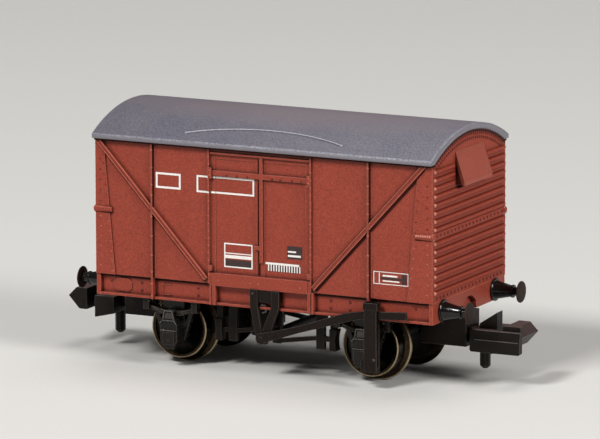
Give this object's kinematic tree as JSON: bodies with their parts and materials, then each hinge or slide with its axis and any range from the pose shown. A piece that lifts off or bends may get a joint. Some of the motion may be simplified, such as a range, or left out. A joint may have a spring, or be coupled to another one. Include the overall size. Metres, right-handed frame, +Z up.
{
  "type": "model railway ventilated van, boxcar",
  "caption": "Small-scale model of a four-wheel ventilated goods van with ribbed steel ends, curved roof, turning wheelsets and swinging hook couplings.",
  "frame": {"origin": "on the floor under the middle of the van, where the wheel flanges stand; rail level is 0.55 mm above it", "axes": "+X along the van towards its front end, the end at the right of the picture; +Y to its left; +Z up"},
  "size_m": [0.049, 0.0178, 0.0248],
  "materials": {
    "body_brown": "red-brown moulded plastic with a satin paint",
    "roof_grey": "mid grey matt paint on moulded plastic",
    "underframe_black": "black moulded plastic",
    "coupling_black": "black acetal plastic",
    "wheel_metal": "turned metal, chemically blackened face, bright tread",
    "axle_steel": "turned steel pin",
    "ballast_steel": "sheared steel strip"
  },
  "bodies": {
    "van": {"axleguard_front_left": "underframe_black", "axleguard_front_right": "underframe_black", "axleguard_rear_left": "underframe_black", "axleguard_rear_right": "underframe_black", "ballast_weight": "ballast_steel", "body_side_left": "body_brown", "body_side_right": "body_brown", "brake_cylinder": "underframe_black", "brake_lever_left": "underframe_black", "brake_lever_right": "underframe_black", "brake_shaft": "underframe_black", "brake_shoe_front_left": "underframe_black", "brake_shoe_front_right": "underframe_black", "brake_shoe_rear_left": "underframe_black", "brake_shoe_rear_right": "underframe_black", "buffer_front_left": "underframe_black", "buffer_front_right": "underframe_black", "buffer_rear_left": "underframe_black", "buffer_rear_right": "underframe_black", "coupling_pocket_front": "coupling_black", "coupling_pocket_rear": "coupling_black", "end_front": "body_brown", "end_rear": "body_brown", "floor_plate": "underframe_black", "headstock_front": "body_brown", "headstock_rear": "body_brown", "lever_rack_left": "underframe_black", "lever_rack_right": "underframe_black", "push_rods_left": "underframe_black", "push_rods_right": "underframe_black", "roof": "roof_grey", "solebar_left": "body_brown", "solebar_right": "body_brown", "vee_hanger_left": "underframe_black", "vee_hanger_right": "underframe_black", "vent_hood_front": "body_brown", "vent_hood_rear": "body_brown"},
    "wheelset_front": {"axle_front": "axle_steel", "wheel_front_left": "wheel_metal", "wheel_front_right": "wheel_metal"},
    "wheelset_rear": {"axle_rear": "axle_steel", "wheel_rear_left": "wheel_metal", "wheel_rear_right": "wheel_metal"},
    "coupling_front": {"coupling_front": "coupling_black"},
    "coupling_rear": {"coupling_rear": "coupling_black"}
  },
  "joints": [
    {"name": "wheelset_front_roll", "type": "hinge", "parent": "van", "child": "wheelset_front", "pos_m": [0.0103, 0, 0.00355], "axis": [0, 1, 0], "continuous": true},
    {"name": "wheelset_rear_roll", "type": "hinge", "parent": "van", "child": "wheelset_rear", "pos_m": [-0.0103, 0, 0.00355], "axis": [0, 1, 0], "continuous": true},
    {"name": "coupling_front_swing", "type": "hinge", "parent": "van", "child": "coupling_front", "pos_m": [0.0152, 0, 0.00458], "axis": [0, 0, 1], "range_deg": [-10, 10], "stiffness_Nm_per_rad": 0.00001},
    {"name": "coupling_rear_swing", "type": "hinge", "parent": "van", "child": "coupling_rear", "pos_m": [-0.0152, 0, 0.00458], "axis": [0, 0, 1], "range_deg": [-10, 10], "stiffness_Nm_per_rad": 0.00001}
  ]
}
